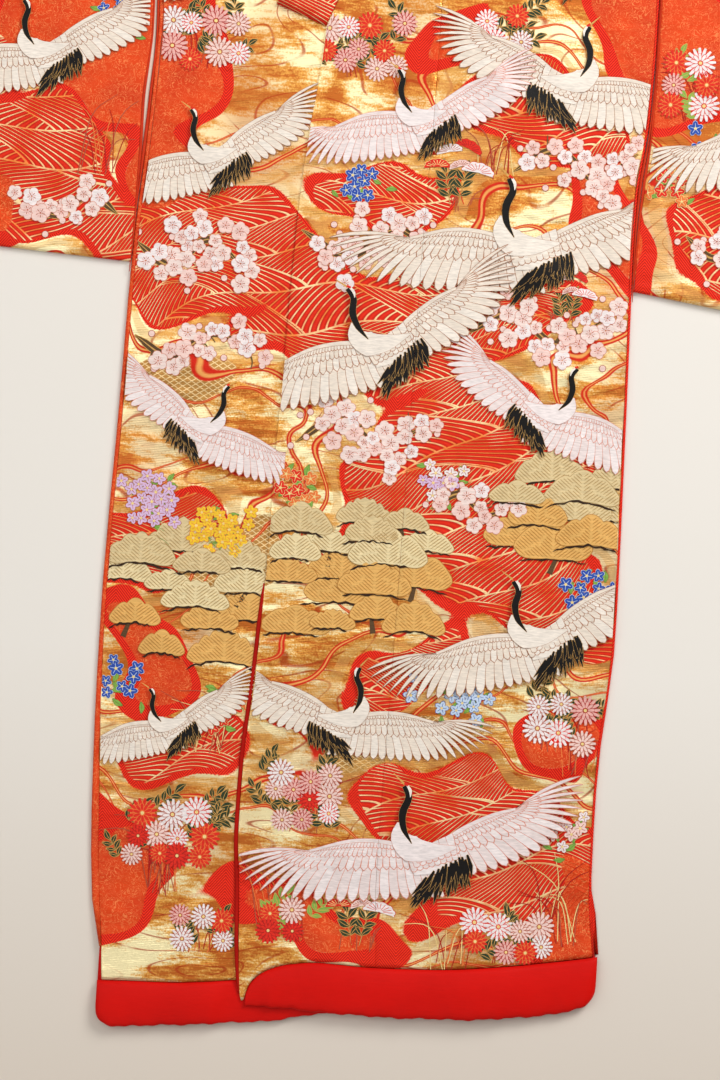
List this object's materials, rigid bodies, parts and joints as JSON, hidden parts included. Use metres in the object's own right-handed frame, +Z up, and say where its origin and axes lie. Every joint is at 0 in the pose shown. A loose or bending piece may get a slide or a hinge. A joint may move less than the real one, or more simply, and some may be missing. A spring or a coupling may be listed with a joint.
{
  "type": "uchikake wedding kimono",
  "caption": "Long padded-hem brocade wedding robe laid flat, left front over right, with open hanging sleeves and a collar that stands at the neck.",
  "frame": {"origin": "middle of the garment's box, on the surface it lies on", "axes": "+Y from the hem to the neck, +Z up from the surface, +X towards the wearer's left sleeve"},
  "size_m": [1.2822, 2.0084, 0.0507],
  "materials": {
    "brocade": "gold and red silk brocade with metal thread",
    "satin": "plain red silk satin, padded",
    "lining": "plain pale silk"
  },
  "bodies": {
    "root": {"body_left": "brocade", "body_right": "brocade", "okumi_left": "brocade", "okumi_right": "brocade", "collar": "brocade", "sleeve_left": "brocade", "sleeve_right": "brocade", "sleeve_lining_left": "lining", "sleeve_lining_right": "lining", "hem_roll_back": "satin", "hem_roll_left": "satin", "hem_roll_right": "satin", "front_edging_left": "satin"}
  },
  "joints": []
}
